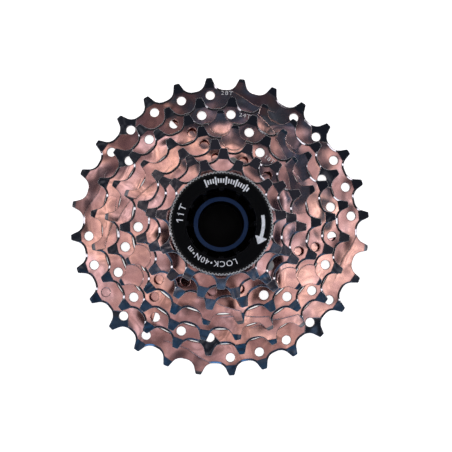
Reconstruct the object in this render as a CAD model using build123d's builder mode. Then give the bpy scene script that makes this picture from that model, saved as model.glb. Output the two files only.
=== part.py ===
"""A seven-speed bicycle cassette on its moulded packing core, from the 28-tooth sprocket up to the lockring.

Millimetres, +Z along the axle from the largest sprocket to the lockring.
The origin is on the axis, in the plane that the core stands on.
"""

import os
from math import atan2, cos, degrees, radians, sin, tan

from build123d import *

# Teeth: every gap is cut for a half-inch chain.
chain_pitch = 12.7
seat_depth = 3.9  # pitch circle down to the floor of a tooth gap
tip_rise = 0.9  # pitch circle up to the tooth tips
gap_half_floor = 3.15  # half width of a gap at its floor, before its corners are rounded
gap_corner = 4.0
gap_flank = 26.5  # degrees off radial
tip_round = 0.6
bevel_start = 0.8  # the front bevel of a tooth starts this far above the gap floors
bevel_depth = 0.65  # and is this deep at the tip
flare_width = 0.8  # bevel round the mouth of each gap
flare_depth = 0.3

# Stack: plate and spacer thicknesses, from the core's flange upwards.
plate_thickness = 1.85
spacer_thickness = 3.15

# Splined bore: nine lugs on every sprocket run in nine grooves of the core.
bore_radius = 17.45
lug_height = 1.1
lug_count = 9
lug_width = 5.0
key_width = 3.2
key_angle = 90.0
spline_clearance = 0.15
lug_radius = bore_radius - lug_height

# Windows: three slanting arms join the toothed ring to the hub ring.
arm_count = 3
arm_width = 7.0
arm_head_angle = 111.0
arm_head_radius = 46.8
hub_radius = bore_radius + 3.55
window_margin = 0.8  # a window's outer edge stands this far outside the next sprocket's gap floors
window_corner = 0.8

# Rivets: three pins through the five largest sprockets and the spacers between them.
rivet_circle = bore_radius + 5.15
rivet_angle = 79.0
rivet_radius = 1.5
rivet_clearance = 0.15
rivet_head_radius = 2.3
rivet_head_height = 0.8
boss_radius = 3.9

# Lightening holes and stamped dimples.
hole_radius = 1.75
hole_inset = 2.1  # hole centres lie this far inside the gap floors
dimple_depth = 0.5

# Shift ramps: sloping pockets in the front faces that end at a curved wall.
ramp_depth = 0.6
ramp_shelf = 4.0  # the wall starts this far inside the gap floors
ramp_length = 1.75  # in tooth spacings
gate_depth = 0.7
relief_radius = 4.6
relief_depth = 0.45

# Spacers: wall thickness outside the bore.
spacer_wall = 3.15
loose_spacer_wall = 2.45
collar_wall = 1.45
ear_radius = 3.1
spacer_chamfer = 0.3

# Lockring, and the washer that rides under it.
washer_thickness = 0.6
washer_radius = bore_radius + 1.0
lockring_radius = bore_radius + 0.55
lockring_thickness = 2.4
lockring_rim = 1.1
lockring_slope = 0.9
thread_radius = bore_radius - 2.3
thread_depth = 0.5
thread_pitch = 1.0
thread_rings = 5
thread_clearance = 0.2
tool_radius = thread_radius - 3.45
tool_tooth = 0.75
tool_count = 12
tool_recess = 0.4
knurl_count = 90
knurl_depth = 0.35

# Packing core
flange_radius = bore_radius + 2.35
flange_thickness = 2.0
core_top_drop = 1.2  # the core ends this far below the face that the washer bears on
core_wall_radius = thread_radius - 1.55
tube_radius = tool_radius - 1.75
tube_bore_radius = tube_radius - 1.55
tube_top_drop = 8.5
core_floor = 3.0
rib_count = 6
rib_thickness = 1.4
rib_top = 20.0

# For each sprocket: angle of tooth 0, number of repeats, holed teeth and ramp start of the first repeat.
sprocket_table = {
    28: (4.4, 4, (0, 1, 2, 3, 4), 4.6),
    24: (9.6, 3, (5, 6, 7, 8, 9), 2.36),
    21: (4.3, 3, (4, 6), 1.38),
    18: (1.5, 3, (3, 5), 0.33),
    15: (-1.8, 1, (2, 3, 4, 10, 11, 12), None),
    13: (4.9, 1, (), None),
    11: (8.0, 1, (), None),
}
dimpled_teeth = {28: (16,), 24: (), 21: (), 18: (), 15: (), 13: (), 11: ()}
gate_teeth = {28: (3, 10, 17, 24), 24: (1, 9, 17), 21: (), 18: (), 15: (), 13: (), 11: ()}
relieved_teeth = {28: (), 24: (), 21: (5, 12, 19), 18: (4, 10, 16), 15: (), 13: (), 11: ()}
sizes = tuple(sprocket_table)
riveted = sizes[:5]
windowed = sizes[:3]


def pitch_radius(teeth):
    return chain_pitch / (2 * sin(radians(180 / teeth)))


def floor_radius(teeth):
    return pitch_radius(teeth) - seat_depth


def tip_radius(teeth):
    return pitch_radius(teeth) + tip_rise


def polar(radius, angle):
    """The point at a radius and an angle in degrees."""
    return (radius * cos(radians(angle)), radius * sin(radians(angle)))


def tooth_angle(teeth, number):
    return sprocket_table[teeth][0] + number * 360 / teeth


def holed_teeth(teeth):
    """The numbers of the teeth that have a hole: the first repeat's, carried round the sprocket."""
    first, repeats, holed, start = sprocket_table[teeth]
    blank = dimpled_teeth[teeth]
    numbers = [(n + turn * teeth // repeats) % teeth for turn in range(repeats) for n in holed]
    return [n for n in numbers if n not in blank]


def plate_back(teeth):
    """Height of a sprocket's back face in the stack."""
    return flange_thickness + sizes.index(teeth) * (plate_thickness + spacer_thickness)


def plate_front(teeth):
    return plate_back(teeth) + plate_thickness


def window_radius(teeth):
    """Outer edge of a sprocket's windows, just outside the gap floors of the sprocket above it."""
    above = sizes[sizes.index(teeth) + 1]
    return floor_radius(above) + window_margin


def gap_profile(teeth, flare):
    """One tooth gap, open outwards along +X and grown on all sides by the flare."""
    slant = radians(gap_flank)
    floor = floor_radius(teeth) - flare
    half = gap_half_floor + flare * (1 / cos(slant) - tan(slant))
    reach = tip_radius(teeth) + 2 * tip_rise
    mouth = half + (reach - floor) * tan(slant)
    with BuildSketch() as gap:
        with BuildLine():
            Polyline((floor, -half), (reach, -mouth), (reach, mouth), (floor, half), close=True)
        make_face()
        fillet(gap.vertices().group_by(Axis.X)[0], gap_corner + flare)
    return gap.sketch


def nearest(points):
    """The point closest to the first one."""
    return min(points[1:], key=points[0].distance_to)


def toothed_disc(teeth):
    """A disc with tooth gaps and softened tooth tips."""
    with BuildSketch() as disc:
        Circle(tip_radius(teeth))
        with PolarLocations(0, teeth, start_angle=tooth_angle(teeth, 0.5)):
            add(gap_profile(teeth, 0), mode=Mode.SUBTRACT)
        tips = [v for v in disc.vertices() if v.center().length > pitch_radius(teeth)]
        fillet(tips, min(tip_round, 0.45 * tips[0].distance_to(nearest(tips))))
    return disc.sketch


def spline_bore():
    """The bore that the nine lugs leave open."""
    with BuildSketch() as bore:
        Circle(bore_radius)
        for number in range(lug_count):
            turn = key_angle + number * 360 / lug_count
            with Locations(Rotation(0, 0, turn)):
                with Locations((bore_radius, 0)):
                    width = lug_width if number else key_width
                    Rectangle(2 * (bore_radius - lug_radius), width, mode=Mode.SUBTRACT)
    return bore.sketch


def arms():
    """Three slanting bars from the rivets out past every toothed ring, with a round boss at each rivet."""
    foot = polar(rivet_circle, rivet_angle)
    head = polar(arm_head_radius, arm_head_angle)
    slant = degrees(atan2(head[1] - foot[1], head[0] - foot[0]))
    with BuildSketch() as bars:
        with PolarLocations(0, arm_count):
            with Locations(Location(foot, slant)):
                Rectangle(tip_radius(sizes[0]), arm_width, align=(Align.MIN, Align.CENTER))
            with Locations(foot):
                Circle(boss_radius)
    return bars.sketch


def window_openings(teeth):
    """The openings between the hub ring, the toothed ring and the arms."""
    with BuildSketch() as windows:
        Circle(window_radius(teeth))
        Circle(hub_radius, mode=Mode.SUBTRACT)
        add(arms(), mode=Mode.SUBTRACT)
        outer = window_radius(teeth) - 0.1
        fillet([v for v in windows.vertices() if v.center().length > outer], window_corner)
    return windows.sketch


def sloping_plane(foot, heading, slope):
    """A plane through a foot point that falls away in the heading direction, with X along the heading."""
    ahead = Vector(*polar(1, heading), 0)
    down = Vector(0, 0, 1)
    return Plane(
        origin=foot,
        x_dir=ahead * cos(radians(slope)) - down * sin(radians(slope)),
        z_dir=ahead * sin(radians(slope)) + down * cos(radians(slope)),
    )


def ramp_cutter(teeth, number):
    """The long pocket: level with the face at first, it sinks past two teeth and ends at an S-shaped wall."""
    step = 360 / teeth
    floor = floor_radius(teeth)
    shelf = floor - ramp_shelf
    reach = tip_radius(teeth) + tip_rise
    slope = degrees(atan2(ramp_depth, radians(1.3 * step) * floor))
    start = tooth_angle(teeth, number)
    plane = sloping_plane((0, 0, plate_front(teeth)), start + 90, slope)
    with BuildPart() as cutter:
        with BuildSketch(plane):
            with BuildLine():
                Polyline(
                    polar(shelf, 0.9 * step - 90),
                    polar(shelf, -90),
                    polar(shelf, -0.1 * step - 90),
                    polar(reach, -0.3 * step - 90),
                    polar(reach, step - 90),
                    polar(reach, ramp_length * step - 90),
                    polar(floor, ramp_length * step - 90),
                )
                Spline(
                    polar(floor, ramp_length * step - 90),
                    polar(floor - 0.5 * ramp_shelf, (0.45 + 0.5 * ramp_length) * step - 90),
                    polar(shelf, 0.9 * step - 90),
                )
            make_face()
        extrude(amount=plate_thickness)
    return cutter.part


def gate_cutter(teeth, number):
    """A V-shaped facet over one tooth, sinking outwards, that lets the chain's outer plate past."""
    step = 360 / teeth
    floor = floor_radius(teeth)
    reach = tip_radius(teeth) + tip_rise
    slope = degrees(atan2(gate_depth, reach - floor + ramp_shelf))
    angle = tooth_angle(teeth, number)
    facet = sloping_plane((*polar(floor - ramp_shelf, angle), plate_front(teeth)), angle, slope)
    half = radians(0.42 * step) * floor
    with BuildPart() as cutter:
        with BuildSketch(facet):
            with BuildLine():
                Polyline(
                    (0, 0.1 * half),
                    (ramp_shelf, half),
                    (ramp_shelf + reach - floor, half),
                    (ramp_shelf + reach - floor, -half),
                    (ramp_shelf, -half),
                    (0, -0.1 * half),
                    close=True,
                )
            make_face()
        extrude(amount=plate_thickness)
    return cutter.part


def gap_flare(teeth):
    """The bevel round the mouth of one gap, as a wedge that widens towards the front face."""
    front = plate_front(teeth)
    with BuildPart() as flare:
        with BuildSketch(Plane.XY.offset(front - flare_depth)):
            add(gap_profile(teeth, 0))
        with BuildSketch(Plane.XY.offset(front + flare_depth)):
            add(gap_profile(teeth, 2 * flare_width))
        loft()
    return flare.part


def bevel_ring(teeth):
    """What the front bevel of the teeth removes: a ring with a conical inside."""
    front = plate_front(teeth)
    start = floor_radius(teeth) + bevel_start
    tip = tip_radius(teeth)
    with BuildPart() as ring:
        with BuildSketch(Plane.XZ):
            with BuildLine():
                Polyline(
                    (start, front),
                    (tip, front - bevel_depth),
                    (tip + 1, front - bevel_depth),
                    (tip + 1, front + 1),
                    (start, front + 1),
                    close=True,
                )
            make_face()
        revolve(axis=Axis.Z)
    return ring.part


def build_sprocket(teeth):
    """One stamped sprocket at its height in the stack."""
    back = plate_back(teeth)
    front = plate_front(teeth)
    with BuildPart() as sprocket:
        with BuildSketch(Plane.XY.offset(back)):
            add(toothed_disc(teeth))
            add(spline_bore(), mode=Mode.SUBTRACT)
            if teeth in windowed:
                add(window_openings(teeth), mode=Mode.SUBTRACT)
            for number in holed_teeth(teeth):
                with Locations(polar(floor_radius(teeth) - hole_inset, tooth_angle(teeth, number))):
                    Circle(hole_radius, mode=Mode.SUBTRACT)
            if teeth in riveted:
                with PolarLocations(rivet_circle, arm_count, start_angle=rivet_angle):
                    Circle(rivet_radius + rivet_clearance, mode=Mode.SUBTRACT)
        extrude(amount=plate_thickness)
        if teeth == sizes[-1]:
            with BuildSketch(Plane.XY.offset(back - spacer_thickness)):
                Circle(bore_radius + collar_wall)
                add(spline_bore(), mode=Mode.SUBTRACT)
            extrude(amount=spacer_thickness)
        add(bevel_ring(teeth), mode=Mode.SUBTRACT)
        with PolarLocations(0, teeth, start_angle=tooth_angle(teeth, 0.5)):
            add(gap_flare(teeth), mode=Mode.SUBTRACT)
        first, repeats, holed, ramp_start = sprocket_table[teeth]
        if ramp_start is not None:
            for turn in range(repeats):
                add(ramp_cutter(teeth, ramp_start + turn * teeth / repeats), mode=Mode.SUBTRACT)
        for number in gate_teeth[teeth]:
            add(gate_cutter(teeth, number), mode=Mode.SUBTRACT)
        for number in dimpled_teeth[teeth]:
            with Locations((*polar(floor_radius(teeth) - hole_inset, tooth_angle(teeth, number)), front)):
                Cylinder(hole_radius, 2 * dimple_depth, mode=Mode.SUBTRACT)
        for number in relieved_teeth[teeth]:
            with Locations((*polar(floor_radius(teeth), tooth_angle(teeth, number)), front)):
                Cylinder(relief_radius, 2 * relief_depth, mode=Mode.SUBTRACT)
    sprocket.part.label = f"sprocket_{teeth}"
    return sprocket.part


def build_cluster_spacer(below, above):
    """A ring with three ears that the rivets pass through, between two riveted sprockets."""
    with BuildPart() as spacer:
        with BuildSketch(Plane.XY.offset(plate_front(below))):
            Circle(bore_radius + spacer_wall)
            with PolarLocations(rivet_circle, arm_count, start_angle=rivet_angle):
                Circle(ear_radius)
            add(spline_bore(), mode=Mode.SUBTRACT)
            with PolarLocations(rivet_circle, arm_count, start_angle=rivet_angle):
                Circle(rivet_radius + rivet_clearance, mode=Mode.SUBTRACT)
        extrude(amount=spacer_thickness)
    spacer.part.label = f"spacer_{below}_{above}"
    return spacer.part


def build_loose_spacer():
    """The ring with lugs that stands alone between the riveted cluster and the 13-tooth sprocket."""
    below, above = sizes[4:6]
    with BuildPart() as spacer:
        with BuildSketch(Plane.XY.offset(plate_front(below))):
            Circle(bore_radius + loose_spacer_wall)
            add(spline_bore(), mode=Mode.SUBTRACT)
        extrude(amount=spacer_thickness)
        chamfer(spacer.edges().filter_by(GeomType.CIRCLE).sort_by(SortBy.RADIUS)[-2:], spacer_chamfer)
    spacer.part.label = f"spacer_{below}_{above}"
    return spacer.part


def build_rivet(number):
    """One of the three pins, headed at both ends."""
    low = plate_back(riveted[0])
    high = plate_front(riveted[-1])
    foot = (Align.CENTER, Align.CENTER, Align.MIN)
    spot = polar(rivet_circle, rivet_angle + number * 360 / arm_count)
    with BuildPart() as rivet:
        with Locations((*spot, low - rivet_head_height), (*spot, high)):
            Cylinder(rivet_head_radius, rivet_head_height, align=foot)
        with Locations((*spot, low)):
            Cylinder(rivet_radius, high - low, align=foot)
        rims = rivet.edges().filter_by(GeomType.CIRCLE).group_by(Axis.Z)
        chamfer(rims[0] + rims[-1], rivet_head_height / 2)
    rivet.part.label = f"rivet_{number + 1}"
    return rivet.part


def build_washer():
    """The thin steel ring between the 11-tooth sprocket and the lockring, with a notched rim."""
    with BuildPart() as washer:
        with BuildSketch(Plane.XY.offset(plate_front(sizes[-1]))):
            Circle(washer_radius)
            Circle(thread_radius + thread_clearance, mode=Mode.SUBTRACT)
            with PolarLocations(washer_radius, knurl_count):
                Rectangle(2 * knurl_depth, knurl_depth, mode=Mode.SUBTRACT)
        extrude(amount=washer_thickness)
    washer.part.label = "lockring_washer"
    return washer.part


def build_lockring():
    """The splined cap ring: a sloped flange over a threaded spigot that reaches into the core."""
    seat = plate_front(sizes[-1]) + washer_thickness
    top = seat + lockring_thickness
    foot = seat - washer_thickness - core_top_drop - thread_rings * thread_pitch
    root = thread_radius - thread_depth
    with BuildPart() as ring:
        with BuildSketch(Plane.XZ):
            with BuildLine():
                Polyline(
                    (tool_radius + tool_tooth, foot),
                    (root, foot),
                    (root, seat),
                    (lockring_radius, seat),
                    (lockring_radius, seat + lockring_rim),
                    (lockring_radius - lockring_slope, top),
                    (tool_radius + tool_tooth, top),
                    close=True,
                )
            make_face()
            for number in range(thread_rings):
                with Locations((root, foot + (number + 0.5) * thread_pitch)):
                    Polygon(
                        (-0.3, -0.45 * thread_pitch),
                        (thread_depth, -0.1 * thread_pitch),
                        (thread_depth, 0.1 * thread_pitch),
                        (-0.3, 0.45 * thread_pitch),
                        align=None,
                    )
        revolve(axis=Axis.Z)
        with BuildSketch(Plane.XY.offset(foot)):
            with PolarLocations(tool_radius + tool_tooth, tool_count):
                Rectangle(2 * tool_tooth, 2 * tool_tooth)
        extrude(amount=top - foot - tool_recess)
        with BuildSketch(Plane.XY.offset(seat)):
            with PolarLocations(lockring_radius, knurl_count):
                Rectangle(2 * knurl_depth, 2 * knurl_depth)
        extrude(amount=lockring_thickness, mode=Mode.SUBTRACT)
    ring.part.label = "lockring"
    return ring.part


def core_section():
    """The core's outline across the axis: nine grooves that take the lugs of the sprockets."""
    with BuildSketch() as section:
        Circle(bore_radius - spline_clearance)
        for number in range(lug_count):
            width = (lug_width if number else key_width) + 2 * spline_clearance
            with Locations(Rotation(0, 0, key_angle + number * 360 / lug_count)):
                with Locations((bore_radius, 0)):
                    Rectangle(2 * (bore_radius - lug_radius + spline_clearance), width, mode=Mode.SUBTRACT)
    return section.sketch


def build_core():
    """The moulded spindle that holds the stack for packing: flange, splined wall, and a closed inner tube."""
    top = plate_front(sizes[-1]) - core_top_drop
    shoulder = top - (thread_rings + 1) * thread_pitch
    tube_top = plate_front(sizes[-1]) - tube_top_drop
    with BuildPart() as core:
        Cylinder(flange_radius, flange_thickness, align=(Align.CENTER, Align.CENTER, Align.MIN))
        with BuildSketch(Plane.XY.offset(flange_thickness)):
            add(core_section())
        extrude(amount=top - flange_thickness)
        with Locations((0, 0, core_floor)):
            Cylinder(
                core_wall_radius,
                top - core_floor,
                align=(Align.CENTER, Align.CENTER, Align.MIN),
                mode=Mode.SUBTRACT,
            )
        with Locations((0, 0, shoulder)):
            Cylinder(
                thread_radius + thread_clearance,
                top - shoulder,
                align=(Align.CENTER, Align.CENTER, Align.MIN),
                mode=Mode.SUBTRACT,
            )
        with BuildSketch(Plane.XY.offset(core_floor)):
            Circle(tube_radius)
        extrude(amount=tube_top - core_floor)
        with BuildSketch(Plane.XY.offset(core_floor)):
            Circle(core_wall_radius + 0.5)
            Circle(tube_radius - 0.5, mode=Mode.SUBTRACT)
            with PolarLocations(0, rib_count):
                Rectangle(4 * core_wall_radius, rib_thickness, mode=Mode.INTERSECT)
        extrude(amount=rib_top - core_floor)
        with Locations((0, 0, core_floor)):
            Cylinder(
                tube_bore_radius,
                tube_top - core_floor,
                align=(Align.CENTER, Align.CENTER, Align.MIN),
                mode=Mode.SUBTRACT,
            )
    core.part.label = "packing_core"
    return core.part


def export(part):
    export_step(part, f"parts/{part.label}.step")


def main():
    os.makedirs("parts", exist_ok=True)
    export(build_core())
    for teeth in sizes:
        export(build_sprocket(teeth))
    for below, above in zip(riveted[:-1], riveted[1:]):
        export(build_cluster_spacer(below, above))
    export(build_loose_spacer())
    for number in range(arm_count):
        export(build_rivet(number))
    export(build_washer())
    export(build_lockring())


main()
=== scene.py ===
"""Looks for a seven-speed bicycle cassette on its packing core.

Plated sprockets, a black lockring with white print, and a plain white stage.
"""

import bmesh
import bpy
import numpy as np
from mathutils import Matrix, Vector


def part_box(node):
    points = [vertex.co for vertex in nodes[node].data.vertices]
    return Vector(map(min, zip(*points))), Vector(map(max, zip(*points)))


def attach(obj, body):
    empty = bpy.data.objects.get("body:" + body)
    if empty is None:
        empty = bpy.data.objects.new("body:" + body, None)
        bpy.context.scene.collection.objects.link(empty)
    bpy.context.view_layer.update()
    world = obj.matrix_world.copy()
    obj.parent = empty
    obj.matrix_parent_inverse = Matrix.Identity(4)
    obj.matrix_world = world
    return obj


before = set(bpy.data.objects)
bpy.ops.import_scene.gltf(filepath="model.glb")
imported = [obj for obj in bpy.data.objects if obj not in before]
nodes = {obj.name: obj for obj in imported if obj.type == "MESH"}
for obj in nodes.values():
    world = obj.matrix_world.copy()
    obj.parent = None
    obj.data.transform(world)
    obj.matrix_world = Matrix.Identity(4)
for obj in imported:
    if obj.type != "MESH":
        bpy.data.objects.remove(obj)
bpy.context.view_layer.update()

MM = 0.001
SPROCKETS = (28, 24, 21, 18, 15, 13, 11)
scene = bpy.context.scene


# ---------------------------------------------------------------- node helpers
def add(tree, kind, **values):
    """A node of one kind with its plain properties set."""
    node = tree.nodes.new(kind)
    for name, value in values.items():
        setattr(node, name, value)
    return node


def put(tree, node, **inputs):
    """Sets or links a node's inputs, named with underscores for spaces."""
    for name, value in inputs.items():
        key = int(name[1:]) if name[0] == "_" and name[1:].isdigit() else name.replace("_", " ")
        socket = node.inputs[key]
        if isinstance(value, bpy.types.NodeSocket):
            tree.links.new(value, socket)
        else:
            socket.default_value = value
    return node


def math_node(tree, operation, a, b=None):
    """One arithmetic step on sockets or numbers."""
    node = add(tree, "ShaderNodeMath", operation=operation)
    put(tree, node, _0=a)
    if b is not None:
        put(tree, node, _1=b)
    return node.outputs[0]


def step_node(tree, value, low, high, out_low=0.0, out_high=1.0):
    """A smooth step of a value from one bound to another."""
    node = add(tree, "ShaderNodeMapRange", interpolation_type="SMOOTHSTEP")
    put(tree, node, Value=value, From_Min=low, From_Max=high, To_Min=out_low, To_Max=out_high)
    return node.outputs["Result"]


def noise_node(tree, vector, scale, detail=3.0, rough=0.5):
    """A noise value between about 0 and 1."""
    node = add(tree, "ShaderNodeTexNoise")
    put(tree, node, Vector=vector, Scale=scale, Detail=detail, Roughness=rough)
    return node.outputs["Fac"]


def mix_colour(tree, factor, a, b):
    """A mix of two colours, each a socket or three numbers."""
    node = add(tree, "ShaderNodeMix", data_type="RGBA")
    put(tree, node, _0=factor)
    for key, value in ((6, a), (7, b)):
        if isinstance(value, bpy.types.NodeSocket):
            tree.links.new(value, node.inputs[key])
        else:
            node.inputs[key].default_value = (*value, 1.0)
    return node.outputs[2]


def radius_node(tree, vector):
    """Distance from the axle."""
    flat = add(tree, "ShaderNodeVectorMath", operation="MULTIPLY")
    put(tree, flat, _0=vector, _1=(1, 1, 0))
    length = add(tree, "ShaderNodeVectorMath", operation="LENGTH")
    put(tree, length, _0=flat.outputs[0])
    return length.outputs["Value"]


def bump(tree, height, strength, distance, normal=None):
    """A bumped normal from a height."""
    node = add(tree, "ShaderNodeBump")
    put(tree, node, Height=height, Strength=strength, Distance=distance)
    if normal is not None:
        put(tree, node, Normal=normal)
    return node.outputs[0]


def group(name, inputs, outputs):
    """An empty shader node group with named sockets, and its two end nodes."""
    tree = bpy.data.node_groups.new(name, "ShaderNodeTree")
    for label, kind, default in inputs:
        socket = tree.interface.new_socket(label, in_out="INPUT", socket_type=kind)
        socket.default_value = default
    for label, kind in outputs:
        tree.interface.new_socket(label, in_out="OUTPUT", socket_type=kind)
    return tree, tree.nodes.new("NodeGroupInput"), tree.nodes.new("NodeGroupOutput")


def use(tree, shared, **inputs):
    """Places a shared group in a material with its own values."""
    return put(tree, add(tree, "ShaderNodeGroup", node_tree=shared), **inputs)


# ---------------------------------------------------------------- shared effects
VECTOR = ("Vector", "NodeSocketVector", (0, 0, 0))
FINE_SHARE = 0.7  # the fine noise's share of the grain's height
BRUSH_DRIFT = 60.0  # how fast brush lines change round the axle
WEAR_EDGE = (0.995, 0.85)  # agreement of the rounded and flat normals: unworn, and fully worn


def make_grain():
    """Fine cloudy grain: one broad noise and one fine noise, as a mask and as a height."""
    tree, given, out = group(
        "grain",
        [VECTOR, ("Broad", "NodeSocketFloat", 120.0), ("Fine", "NodeSocketFloat", 2500.0)],
        [("Mask", "NodeSocketFloat"), ("Height", "NodeSocketFloat")],
    )
    broad = noise_node(tree, given.outputs["Vector"], given.outputs["Broad"], 4.0, 0.55)
    fine = noise_node(tree, given.outputs["Vector"], given.outputs["Fine"], 2.0, 0.6)
    tree.links.new(step_node(tree, broad, 0.35, 0.65), out.inputs["Mask"])
    fine_part = math_node(tree, "MULTIPLY", fine, FINE_SHARE)
    broad_part = math_node(tree, "MULTIPLY", broad, 1 - FINE_SHARE)
    tree.links.new(math_node(tree, "ADD", fine_part, broad_part), out.inputs["Height"])
    return tree


def make_brushing():
    """Concentric brush lines: noise that changes fast along the radius and slowly round the axle."""
    tree, given, out = group(
        "brushing",
        [VECTOR, ("Lines", "NodeSocketFloat", 9000.0)],
        [("Height", "NodeSocketFloat")],
    )
    split = add(tree, "ShaderNodeSeparateXYZ")
    put(tree, split, Vector=given.outputs["Vector"])
    radius = radius_node(tree, given.outputs["Vector"])
    point = add(tree, "ShaderNodeCombineXYZ")
    put(tree, point, X=math_node(tree, "MULTIPLY", radius, given.outputs["Lines"]))
    put(tree, point, Y=math_node(tree, "MULTIPLY", split.outputs["X"], BRUSH_DRIFT))
    put(tree, point, Z=math_node(tree, "MULTIPLY", split.outputs["Y"], BRUSH_DRIFT))
    tree.links.new(noise_node(tree, point.outputs[0], 1.0, 2.0, 0.6), out.inputs["Height"])
    return tree


def make_edge_wear():
    """Worn edges: where the rounded normal leaves the flat one, broken up by noise."""
    tree, given, out = group(
        "edge_wear",
        [VECTOR, ("Width", "NodeSocketFloat", 0.0002)],
        [("Mask", "NodeSocketFloat"), ("Normal", "NodeSocketVector")],
    )
    soft = add(tree, "ShaderNodeBevel", samples=6)
    put(tree, soft, Radius=given.outputs["Width"])
    geometry = add(tree, "ShaderNodeNewGeometry")
    dot = add(tree, "ShaderNodeVectorMath", operation="DOT_PRODUCT")
    put(tree, dot, _0=soft.outputs[0], _1=geometry.outputs["Normal"])
    edge = step_node(tree, dot.outputs["Value"], *WEAR_EDGE)
    broken = step_node(tree, noise_node(tree, given.outputs["Vector"], 900.0, 3.0), 0.35, 0.6)
    tree.links.new(math_node(tree, "MULTIPLY", edge, broken), out.inputs["Mask"])
    tree.links.new(soft.outputs[0], out.inputs["Normal"])
    return tree


grain = make_grain()
brushing = make_brushing()
edge_wear = make_edge_wear()


def begin(name):
    """A material with its Principled shader, and object coordinates."""
    material = bpy.data.materials.new(name)
    material.use_nodes = True
    tree = material.node_tree
    return material, tree, tree.nodes["Principled BSDF"], add(tree, "ShaderNodeTexCoord")


# ---------------------------------------------------------------- finishes
# A face's lean is the size of its normal's Z. A finish starts at the first lean and is full at the second.
SLOPE_LEAN = (0.9985, 0.9977)
FLARE_LEAN = (0.975, 0.955)
WALL_LEAN = (0.8, 0.3)
# Painted shade: the tooth tips are painted dark slate in this band, standing in for the dark reflection on
# them.
TIP_SHADE_BAND = (1.5 * MM, 1.1 * MM)  # a dark tip starts and is full this far inside the tip circle
ROSY = (0.725, 0.435, 0.435)
COPPER = (0.815, 0.43, 0.35)
ROSY_DEEP = (0.46, 0.235, 0.22)
# Painted shade: the slope colours paint the dark reflection of tooth slopes and tips into the base colour;
# the small sprockets get a lighter grey.
SLOPE_SHADE = (0.165, 0.165, 0.185)
SMALL_SLOPE_SHADE = (0.34, 0.29, 0.30)
# Painted shade: the flares round the gaps are painted darker steel, for the dark outlines along the plate
# edges.
FLARE_SHADE = (0.30, 0.28, 0.31)
# Painted shade: upright walls are painted dark, for the shade in the gaps between the plates.
WALL_SHADE = (0.15, 0.13, 0.135)
# Pale worn plating along the edges: partly edge wear, partly a painted highlight that draws thin glints.
WORN_AND_GLINT_PLATING = (0.92, 0.90, 0.90)
WORN_AND_GLINT_SHARE = 0.6
PLATING_ROUGH = 0.05
ROLLED_SCALE, ROLLED_DEPTH = 75.0, 0.0007  # the plates are not quite flat
SMALL_SPROCKETS = (15, 13, 11)
CHAIN_PITCH = 12.7 * MM
TIP_RISE = 0.9 * MM


def plated_plate(teeth):
    """A sprocket's plating: rosy flats, slate slopes and tips, steel flares round the gaps, dark walls; the
    slate, the flares' darker steel and the dark walls are painted shade, and the pale worn edges are partly
    wear, partly painted highlight.
    """
    material, tree, shader, place = begin(f"rosy_plating_{teeth}")
    spot = place.outputs["Object"]
    tip = CHAIN_PITCH / (2 * np.sin(np.pi / teeth)) + TIP_RISE
    up = add(tree, "ShaderNodeSeparateXYZ")
    put(tree, up, Vector=place.outputs["Normal"])
    lean = math_node(tree, "ABSOLUTE", up.outputs["Z"])
    # Painted shade: the tip band and the slopes together take the dark slate colour.
    shaded_tip = step_node(tree, radius_node(tree, spot), tip - TIP_SHADE_BAND[0], tip - TIP_SHADE_BAND[1])
    slope_shade = math_node(tree, "MAXIMUM", step_node(tree, lean, *SLOPE_LEAN), shaded_tip)
    cloud = use(tree, grain, Vector=spot, Broad=85.0, Fine=3200.0)
    wear = use(tree, edge_wear, Vector=spot, Width=0.0004)
    lines = use(tree, brushing, Vector=spot, Lines=7000.0)
    warm = step_node(tree, noise_node(tree, spot, 55.0, 2.0), 0.42, 0.58)
    colour = mix_colour(tree, warm, ROSY, COPPER)
    colour = mix_colour(tree, cloud.outputs["Mask"], ROSY_DEEP, colour)
    # Painted shade on slopes and tips.
    colour = mix_colour(tree, slope_shade, colour, SMALL_SLOPE_SHADE if teeth in SMALL_SPROCKETS else SLOPE_SHADE)
    # Painted shade on the flares.
    colour = mix_colour(tree, step_node(tree, lean, *FLARE_LEAN), colour, FLARE_SHADE)
    # Painted shade on the upright walls.
    colour = mix_colour(tree, step_node(tree, lean, *WALL_LEAN), colour, WALL_SHADE)
    # Pale edges: partly wear, partly painted highlight.
    worn = math_node(tree, "MULTIPLY", wear.outputs["Mask"], WORN_AND_GLINT_SHARE)
    colour = mix_colour(tree, worn, colour, WORN_AND_GLINT_PLATING)
    shader.inputs["Metallic"].default_value = 1.0
    put(tree, shader, Base_Color=colour)
    rough = step_node(tree, cloud.outputs["Mask"], 0.0, 1.0, 2 * PLATING_ROUGH, PLATING_ROUGH)
    put(tree, shader, Roughness=rough)
    rolled = noise_node(tree, spot, ROLLED_SCALE, 1.0, 0.4)
    rolled = bump(tree, rolled, 1.0, ROLLED_DEPTH, wear.outputs["Normal"])
    height = math_node(tree, "ADD", cloud.outputs["Height"], lines.outputs["Height"])
    put(tree, shader, Normal=bump(tree, height, 0.05, 0.00002, rolled))
    return material


WORN_STEEL = (0.85, 0.85, 0.86)
PATCH_EDGE = 0.1 * MM  # a patch fades over this much of the radius


def darker(colour, factor):
    """The same colour, darker by a factor."""
    return tuple(c * factor for c in colour)


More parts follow.
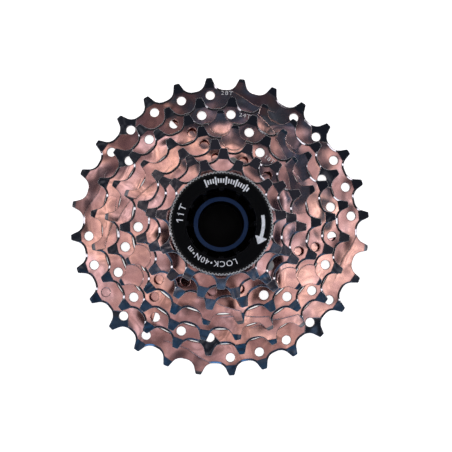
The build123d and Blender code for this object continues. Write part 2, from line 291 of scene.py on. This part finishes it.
def plain_steel(name, colour, rough):
    """Bright plated steel with brush lines and pale worn edges."""
    material, tree, shader, place = begin(name)
    spot = place.outputs["Object"]
    cloud = use(tree, grain, Vector=spot, Broad=200.0, Fine=4000.0)
    lines = use(tree, brushing, Vector=spot, Lines=9000.0)
    wear = use(tree, edge_wear, Vector=spot, Width=0.00015)
    base = mix_colour(tree, cloud.outputs["Mask"], darker(colour, 0.75), colour)
    base = mix_colour(tree, wear.outputs["Mask"], base, WORN_STEEL)
    shader.inputs["Metallic"].default_value = 1.0
    put(tree, shader, Base_Color=base)
    put(tree, shader, Roughness=step_node(tree, cloud.outputs["Height"], 0.2, 0.8, rough, rough + 0.12))
    put(tree, shader, Normal=bump(tree, lines.outputs["Height"], 0.2, 0.00003, wear.outputs["Normal"]))
    return material


def moulded_plastic(name, colour, rough, specular, wear_tint, patch=None):
    """Black moulded plastic with a fine spark-eroded texture.

    A patch is (radius from, radius to, height from, colour): faces inside that ring and above that height.
    """
    material, tree, shader, place = begin(name)
    spot = place.outputs["Object"]
    cloud = use(tree, grain, Vector=spot, Broad=250.0, Fine=5000.0)
    wear = use(tree, edge_wear, Vector=spot, Width=0.0002)
    base = mix_colour(tree, cloud.outputs["Mask"], darker(colour, 0.7), colour)
    if patch is not None:
        near, far, low, tint = patch
        radius = radius_node(tree, spot)
        split = add(tree, "ShaderNodeSeparateXYZ")
        put(tree, split, Vector=spot)
        inside = step_node(tree, radius, near - PATCH_EDGE, near)
        outside = step_node(tree, radius, far, far - PATCH_EDGE)
        above = step_node(tree, split.outputs["Z"], low, low + 2 * PATCH_EDGE)
        ring = math_node(tree, "MULTIPLY", math_node(tree, "MULTIPLY", inside, outside), above)
        base = mix_colour(tree, ring, base, tint)
    base = mix_colour(tree, wear.outputs["Mask"], base, wear_tint)
    put(tree, shader, Base_Color=base)
    put(tree, shader, Roughness=step_node(tree, cloud.outputs["Mask"], 0.0, 1.0, rough, rough + 0.1))
    shader.inputs["Specular IOR Level"].default_value = specular
    put(tree, shader, Normal=bump(tree, cloud.outputs["Height"], 0.25, 0.00004, wear.outputs["Normal"]))
    return material


def pale_ink(name, colour):
    """Pad-printed ink, a little thin in places."""
    material, tree, shader, place = begin(name)
    cloud = use(tree, grain, Vector=place.outputs["Object"], Broad=900.0, Fine=6000.0)
    put(tree, shader, Base_Color=mix_colour(tree, cloud.outputs["Mask"], darker(colour, 0.75), colour))
    put(tree, shader, Roughness=step_node(tree, cloud.outputs["Height"], 0.2, 0.8, 0.45, 0.6))
    put(tree, shader, Normal=bump(tree, cloud.outputs["Height"], 0.2, 0.00002))
    return material


LOCKRING_BLACK = (0.0016, 0.0016, 0.0022)
CORE_BLACK = (0.0018, 0.0014, 0.0018)
# The dark blue top of the core's inner tube: from its bore to its outside, just under its rim.
TUBE_RIM = (8.4 * MM, 10.2 * MM, 24.8 * MM, (0.014, 0.032, 0.09))

core_finish = moulded_plastic("core_plastic", CORE_BLACK, 0.45, 0.1, (0.03, 0.035, 0.05), TUBE_RIM)
spacer_finish = plain_steel("plated_spacer", (0.30, 0.28, 0.28), 0.3)
spacer_plastic = moulded_plastic("spacer_plastic", (0.015, 0.015, 0.016), 0.45, 0.3, (0.05, 0.05, 0.055))
rivet_finish = plain_steel("rivet_steel", (0.45, 0.44, 0.43), 0.3)
washer_finish = plain_steel("washer_steel", (0.72, 0.72, 0.73), 0.22)
lockring_finish = moulded_plastic("satin_black", LOCKRING_BLACK, 0.42, 0.08, (0.035, 0.035, 0.04))
ink = pale_ink("white_ink", (0.95, 0.95, 1.0))
stamp_finish = pale_ink("stamp_filler", (0.85, 0.83, 0.86))

finishes = {f"sprocket_{teeth}": plated_plate(teeth) for teeth in SPROCKETS}
finishes.update({
    "packing_core": core_finish,
    "spacer_28_24": spacer_finish,
    "spacer_24_21": spacer_finish,
    "spacer_21_18": spacer_finish,
    "spacer_18_15": spacer_finish,
    "spacer_15_13": spacer_plastic,
    "rivet_1": rivet_finish,
    "rivet_2": rivet_finish,
    "rivet_3": rivet_finish,
    "lockring_washer": washer_finish,
    "lockring": lockring_finish,
})
for node_name, finish in finishes.items():
    for slot in nodes[node_name].material_slots:
        slot.material = finish


# ---------------------------------------------------------------- print on the faces
PRINT_SINK = 0.03 * MM
PRINT_RISE = 0.03 * MM
WELD_REACH = 0.002 * MM
FLAG_ANGLES = (176.4, 166.6)  # the two ones of the tooth count
FLAG_WIDTH = 2.6
DIAL_START, DIAL_STEP, DIAL_TICKS = 111.5, 3.5, 18
TICK_HALF = 1.0
LONG_TICK, SHORT_TICK = (13.6, 16.4), (14.2, 15.8)
LONG_EVERY = 4


def new_piece(name, mesh, material, body):
    """Puts a mesh in the scene as a piece that rides on a body."""
    mesh.materials.append(material)
    piece = bpy.data.objects.new(name, mesh)
    scene.collection.objects.link(piece)
    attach(piece, body)
    return piece


def ring_text(name, words, start, end, base, cap, face, material, body):
    """Raised letters bent round the axle, tops outwards, reading clockwise from the start to the end angle.

    A point at u along the line and v above it goes to radius base + v, at an angle that falls evenly with u.
    """
    font = bpy.data.curves.new(name, "FONT")
    font.body = words
    font.extrude = 0.5
    font.resolution_u = 4
    font.space_character = 1.15
    holder = bpy.data.objects.new(name + "_line", font)
    mesh = bpy.data.meshes.new_from_object(holder)
    bpy.data.objects.remove(holder)
    flat = np.empty(3 * len(mesh.vertices), dtype=np.float32)
    mesh.vertices.foreach_get("co", flat)
    u, v, w = flat.reshape(-1, 3).astype(float).T
    turn = np.radians(start + (end - start) * (u - u.min()) / (u.max() - u.min()))
    radius = (base + cap * v / v.max()) * MM
    height = np.where(w > 0, face + PRINT_RISE, face - PRINT_SINK)
    points = np.column_stack((radius * np.cos(turn), radius * np.sin(turn), height))
    mesh.vertices.foreach_set("co", points.ravel())
    welded = bmesh.new()
    welded.from_mesh(mesh)
    bmesh.ops.remove_doubles(welded, verts=welded.verts, dist=WELD_REACH)
    bmesh.ops.recalc_face_normals(welded, faces=welded.faces)
    welded.to_mesh(mesh)
    welded.free()
    mesh.name = name
    return new_piece(name, mesh, material, body)


def ring_bands(name, bands, face, material, body):
    """Flat raised bands round the axle.

    Each band is a row of stations (angle, inner radius, outer radius); a rectangle is swept through them.
    """
    points, faces = [], []
    for band in bands:
        turn, inner, outer = np.array(band, dtype=float).T
        turn = np.radians(turn)
        count = len(turn)
        first = sum(len(p) for p in points)
        for radius, height in (
            (inner, face - PRINT_SINK),
            (outer, face - PRINT_SINK),
            (outer, face + PRINT_RISE),
            (inner, face + PRINT_RISE),
        ):
            x, y = radius * MM * np.cos(turn), radius * MM * np.sin(turn)
            points.append(np.column_stack((x, y, np.full(count, height))))
        i = np.arange(count - 1)
        for side in range(4):
            near, far = first + side * count, first + (side + 1) % 4 * count
            faces.append(np.column_stack((near + i, near + i + 1, far + i + 1, far + i)))
        corners = first + np.arange(4) * count
        faces.append(corners[None, :])
        faces.append((corners + count - 1)[None, ::-1])
    mesh = bpy.data.meshes.new(name)
    mesh.from_pydata(np.concatenate(points).tolist(), [], np.concatenate(faces).tolist())
    tidy = bmesh.new()
    tidy.from_mesh(mesh)
    bmesh.ops.recalc_face_normals(tidy, faces=tidy.faces)
    tidy.to_mesh(mesh)
    tidy.free()
    return new_piece(name, mesh, material, body)


lockring_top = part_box("lockring")[1].z
ring_text("print_tooth_count", "11T", 176.5, 154.0, 13.5, 2.4, lockring_top, ink, "lockring")
ring_bands(
    "print_tooth_count_flags",
    [[(angle + FLAG_WIDTH, 15.0, 15.35), (angle, 15.5, 15.9)] for angle in FLAG_ANGLES],
    lockring_top,
    ink,
    "lockring",
)
ring_text("print_torque", "LOCK•40N•m", 292.0, 216.0, 13.4, 2.0, lockring_top, ink, "lockring")

dial = []
for number in range(DIAL_TICKS):
    middle = DIAL_START - number * DIAL_STEP
    low, high = SHORT_TICK if number % LONG_EVERY else LONG_TICK
    dial.append([(middle + TICK_HALF, low, high), (middle - TICK_HALF, low, high)])
ring_bands("print_dial", dial, lockring_top, ink, "lockring")

shaft = [(angle, 14.2, 15.4) for angle in np.arange(11.0, -20.0, -3.0)]
head = [(-19.5, 12.6, 17.0), (-25.0, 13.7, 15.9), (-30.0, 14.75, 14.85)]
ring_bands("print_arrow", [shaft + head], lockring_top, ink, "lockring")

STAMP_HEIGHT = 1.5
# Teeth, start and end angle, and radius of the letters' base.
STAMPS = ((28, 89.6, 84.6, 50.8), (24, 80.5, 74.5, 42.3), (18, 56.5, 49.5, 29.6))
for teeth, start, end, base in STAMPS:
    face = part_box(f"sprocket_{teeth}")[1].z
    ring_text(f"stamp_{teeth}", f"{teeth}T", start, end, base, STAMP_HEIGHT, face, stamp_finish, "cluster")


# ---------------------------------------------------------------- stage, lights and camera
FLOOR_HALF = 25
FLOOR_PALE = (0.85, 0.85, 0.85, 1)
FLOOR_SEEN, FLOOR_LIGHTING = (0.90, 0.90, 0.90), (0.12, 0.12, 0.12)
WORLD_STRENGTH = 0.045


def stage_mesh(name, points, faces, material):
    """A piece of the stage, from its points and faces."""
    mesh = bpy.data.meshes.new(name)
    mesh.from_pydata(points, [], faces)
    mesh.materials.append(material)
    piece = bpy.data.objects.new(name, mesh)
    scene.collection.objects.link(piece)
    return piece


def floor_paint():
    """Plain white floor: seen directly it is brighter than it lights the object."""
    material, tree, shader, _ = begin("floor_paint")
    shader.inputs["Base Color"].default_value = FLOOR_PALE
    shader.inputs["Roughness"].default_value = 0.9
    shader.inputs["Emission Strength"].default_value = 1.0
    path = add(tree, "ShaderNodeLightPath")
    glow = mix_colour(tree, path.outputs["Is Camera Ray"], FLOOR_LIGHTING, FLOOR_SEEN)
    put(tree, shader, Emission_Color=glow)
    return material


floor_corners = [(x * FLOOR_HALF, y * FLOOR_HALF, 0) for x, y in ((-1, -1), (1, -1), (1, 1), (-1, 1))]
stage_mesh("floor", floor_corners, [(0, 1, 2, 3)], floor_paint())

world = bpy.data.worlds.new("studio")
scene.world = world
world.use_nodes = True
sky = world.node_tree.nodes["Background"]
sky.inputs["Color"].default_value = (1, 1, 1, 1)
sky.inputs["Strength"].default_value = WORLD_STRENGTH

face_28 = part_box("sprocket_28")[1].z

PANEL_HEIGHT = 0.62
PANEL_HALF = 0.5
PANEL_CELLS = 100
PANEL_SPREAD = 2.63  # a point of the panel is seen in a plate this many times closer to the axle
PANEL_SHIFT = (7.2, 19.1)


def smooth(value, low, high):
    """A smooth step of an array from one bound to another."""
    t = np.clip((value - low) / (high - low), 0, 1)
    return t * t * (3 - 2 * t)


def lobe(turn, middle, half, soft):
    """One inside an angle either side of the middle, falling to zero over the soft angle."""
    off = np.abs((turn - middle + 180) % 360 - 180)
    return 1 - smooth(off, half - soft / 2, half + soft / 2)


STACK_REACH = (58, 66)  # beyond this the panel is seen only in slopes and tips
OUTER_GLOW = (0.054, 0.062, 0.084)
BLUE_GLOW = (0.03, 0.36, 0.78)
WARM_SPOT = (0.9, 0.85, 0.7)


def mound(px, py, x, y, spread):
    """A round mound, one at its middle: the exponential of minus distance squared over the spread."""
    return np.exp(-((px - x) ** 2 + (py - y) ** 2) / spread)


def panel_glow(x, y):
    """Brightness of the overhead panel, for arrays of panel points in millimetres.

    The panel is bright over the stack, broken up by crossed sine waves, and dim over one side of it.
    It is dark right above the axle. Outside the stack it is dark with some glints, and has a blue arc
    along one side.
    """
    px, py = (x - PANEL_SHIFT[0]) / PANEL_SPREAD, (y - PANEL_SHIFT[1]) / PANEL_SPREAD
    reach = np.hypot(px, py)
    turn = np.degrees(np.arctan2(py, px))

    def dim(level, mask, factor):
        """Multiplies the brightness by a factor where the mask is one."""
        return level * (1 - mask[..., None] * (1 - np.array(factor)))

    # Waves over the stack, brighter towards one side.
    waves = np.sin(0.52 * px + 1.3 * np.sin(0.31 * py))
    waves = waves * np.sin(0.47 * py + 1.1 * np.sin(0.37 * px + 1.0))
    level = (0.50 + 1.12 * smooth(waves, -0.42, 0.6))[..., None] * np.array((1.0, 0.98, 1.0))
    level = level * (1 + 0.42 * lobe(turn, 355, 35, 40)[..., None] * np.array((0.8, 1.0, 1.05)))

    # A slate sector with two rosy gaps, and a second one nearer the axle.
    slate = lobe(turn, 73, 38, 14) * smooth(reach, 28, 33)
    inner_slate = lobe(turn, 21, 24, 12) * smooth(reach, 22, 26) * (1 - smooth(reach, 34, 39))
    slate = np.maximum(slate, inner_slate)
    level = dim(level, slate, (0.05, 0.105, 0.16))
    rosy_gap = mound(px, py, 10, 38, 18) + mound(px, py, -1, 36, 14)
    level = level + (slate * rosy_gap)[..., None] * np.array((0.30, 0.26, 0.27))

    # Dimmer sectors, the dark middle and one warm bright spot.
    level = dim(level, lobe(turn, 128, 22, 14) * smooth(reach, 38, 42), (0.17, 0.16, 0.19))
    level = dim(level, lobe(turn, 266, 40, 24), (0.60, 0.57, 0.58))
    level = dim(level, lobe(turn, 262, 40, 20) * (1 - smooth(reach, 28, 35)), (0.06, 0.05, 0.055))
    level = dim(level, 1 - smooth(reach, 15.5, 19.5), (0.02, 0.02, 0.03))
    level = level + mound(px, py, -16, 27.5, 22)[..., None] * np.array(WARM_SPOT)

    # Beyond the stack: dark with glints, and a patchy blue arc.
    edge = smooth(reach, *STACK_REACH)[..., None]
    glints = smooth(np.sin(0.33 * px + 0.9) * np.sin(0.29 * py + 0.4), 0.45, 0.7)
    glints = glints * (1 - lobe(turn, 58, 56, 30))
    level = level * (1 - edge) + edge * (np.array(OUTER_GLOW) + 0.5 * glints[..., None])
    patches = 0.25 + 0.75 * np.sin(0.7 * reach + 0.12 * turn) * np.sin(0.35 * reach - 0.23 * turn)
    blue = lobe(turn, 268, 62, 40) * smooth(reach, 88, 108) * np.clip(patches, 0, 1)
    return level + blue[..., None] * np.array(BLUE_GLOW)


def glowing_cloth(name, strength, colour=(1, 1, 1, 1)):
    """A black cloth that glows evenly; returns its nodes too, so that its colour can be linked."""
    material, tree, shader, _ = begin(name)
    shader.inputs["Base Color"].default_value = (0.0, 0.0, 0.0, 1)
    shader.inputs["Specular IOR Level"].default_value = 0.0
    shader.inputs["Emission Color"].default_value = colour
    shader.inputs["Emission Strength"].default_value = strength
    return material, tree, shader


def make_panel():
    """A square grid over the object, seen only in reflections, that glows with its points' colour."""
    steps = np.linspace(-PANEL_HALF, PANEL_HALF, PANEL_CELLS + 1)
    x, y = np.meshgrid(steps, steps, indexing="ij")
    points = np.column_stack((x.ravel(), y.ravel(), np.full(x.size, PANEL_HEIGHT)))
    row = np.arange(PANEL_CELLS)
    corner = (row[:, None] * (PANEL_CELLS + 1) + row[None, :]).ravel()
    faces = np.column_stack((corner, corner + 1, corner + PANEL_CELLS + 2, corner + PANEL_CELLS + 1))
    cloth, tree, shader = glowing_cloth("panel_cloth", 1.0)
    stored = add(tree, "ShaderNodeAttribute", attribute_name="glow")
    put(tree, shader, Emission_Color=stored.outputs["Color"])
    panel = stage_mesh("panel", points.tolist(), faces.tolist(), cloth)
    colours = np.ones((x.size, 4), dtype=np.float32)
    colours[:, :3] = panel_glow(x / MM, y / MM).reshape(-1, 3)
    panel.data.attributes.new("glow", "FLOAT_COLOR", "POINT").data.foreach_set("color", colours.ravel())
    panel.visible_camera = False


make_panel()

SCREEN_FACES = 64
SCREEN_HEIGHTS = (0.10, 0.70)
SCREEN_STRENGTH = 0.55
SCREEN_WHITE = (1.0, 0.97, 0.98, 1)


def make_side_screen():
    """A round screen about the object, seen only in reflections: upright faces side by side on a circle."""
    turn = np.linspace(0, 2 * np.pi, SCREEN_FACES, endpoint=False)
    ring = [np.column_stack((np.cos(turn), np.sin(turn), np.full(SCREEN_FACES, z))) for z in SCREEN_HEIGHTS]
    here = np.arange(SCREEN_FACES)
    after = np.roll(here, -1)
    faces = np.column_stack((here, after, after + SCREEN_FACES, here + SCREEN_FACES))
    cloth = glowing_cloth("side_cloth", SCREEN_STRENGTH, SCREEN_WHITE)[0]
    screen = stage_mesh("side_screen", np.concatenate(ring).tolist(), faces.tolist(), cloth)
    screen.visible_camera = False
    screen.visible_diffuse = False


make_side_screen()


def strip_light(name, place, width, length, power, colour):
    """A soft strip aimed at the object."""
    light = bpy.data.lights.new(name, "AREA")
    light.energy = power
    light.color = colour
    light.shape = "RECTANGLE"
    light.size = width
    light.size_y = length
    lamp = bpy.data.objects.new(name, light)
    lamp.location = place
    lamp.rotation_euler = (-Vector(place)).to_track_quat("-Z", "Y").to_euler()
    scene.collection.objects.link(lamp)
    return lamp


WHITE = (1, 1, 1)
BLUE = (0.16, 0.45, 0.9)
for strip in (
    ("left_strip", (-0.64, 0.03, 0.53), 0.10, 0.5, 0.6, WHITE),
    ("right_strip", (0.64, 0.05, 0.5), 0.08, 0.4, 0.4, WHITE),
    ("corner_strip", (0.42, 0.50, 0.52), 0.30, 0.07, 0.28, WHITE),
    ("low_strip", (0.0, -0.64, 0.50), 0.60, 0.08, 0.28, BLUE),
):
    strip_light(*strip)
fill = strip_light("fill", (0.0, 0.05, 0.6), 0.3, 0.3, 1.2, WHITE)
fill.visible_glossy = False

CAMERA_PLACE = Vector((-4.4 * MM, -11.7 * MM, face_28 + 378 * MM))
CAMERA_AIM = Vector((2.2 * MM, 0.0, face_28))
CAMERA_LENS = 78.2
SENSOR_WIDTH = 36.0
NEAR_CLIP = 0.01

camera_data = bpy.data.cameras.new("camera")
camera_data.lens = CAMERA_LENS
camera_data.sensor_width = SENSOR_WIDTH
camera_data.clip_start = NEAR_CLIP
camera = bpy.data.objects.new("camera", camera_data)
camera.location = CAMERA_PLACE
back = (CAMERA_PLACE - CAMERA_AIM).normalized()
side = Vector((0, 1, 0)).cross(back).normalized()
camera.rotation_euler = Matrix((side, back.cross(side), back)).transposed().to_euler()
scene.collection.objects.link(camera)
scene.camera = camera
scene.view_settings.view_transform = "Standard"
